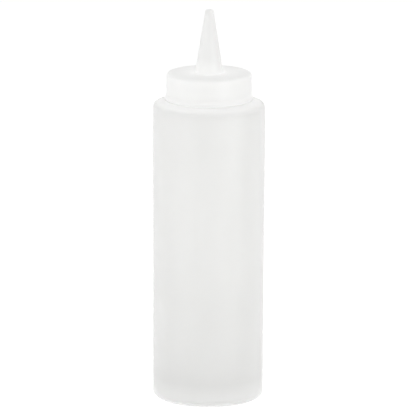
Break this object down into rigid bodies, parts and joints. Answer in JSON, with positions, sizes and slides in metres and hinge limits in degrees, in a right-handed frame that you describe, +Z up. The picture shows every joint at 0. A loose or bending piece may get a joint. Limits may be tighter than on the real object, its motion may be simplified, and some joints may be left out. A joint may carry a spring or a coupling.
{
  "type": "condiment squeeze bottle",
  "caption": "Round translucent squeeze bottle with a flat shoulder, a smooth screw cap and a straight open cone nozzle for sauces.",
  "frame": {"origin": "centre of the foot, on the plane the bottle stands on", "axes": "+Z up along the bottle's axis to the nozzle's tip; +X and +Y across it, alike"},
  "size_m": [0.0512, 0.0512, 0.1802],
  "materials": {
    "natural_polyethylene": "undyed low-density polyethylene, blow-moulded, milky and see-through, satin",
    "cap_polyethylene": "undyed low-density polyethylene, injection-moulded, milky, soft sheen",
    "foamed_polyethylene": "foamed polyethylene, matt white"
  },
  "bodies": {
    "bottle": {"bottle": "natural_polyethylene"},
    "sealing_ring": {"sealing_ring": "foamed_polyethylene"},
    "cap": {"cap": "cap_polyethylene"}
  },
  "joints": [
    {"name": "cap_lift", "type": "slide", "parent": "bottle", "child": "sealing_ring", "axis": [0, 0, 1], "range_m": [0, 0.0106]},
    {"name": "cap_turn", "type": "hinge", "parent": "sealing_ring", "child": "cap", "pos_m": [0, 0, 0.1499], "axis": [0, 0, 1], "range_deg": [0, 900]}
  ],
  "couplings": [
    {"joint": "cap_lift", "follows": "cap_turn", "m_per_rad": 0.00067376}
  ]
}
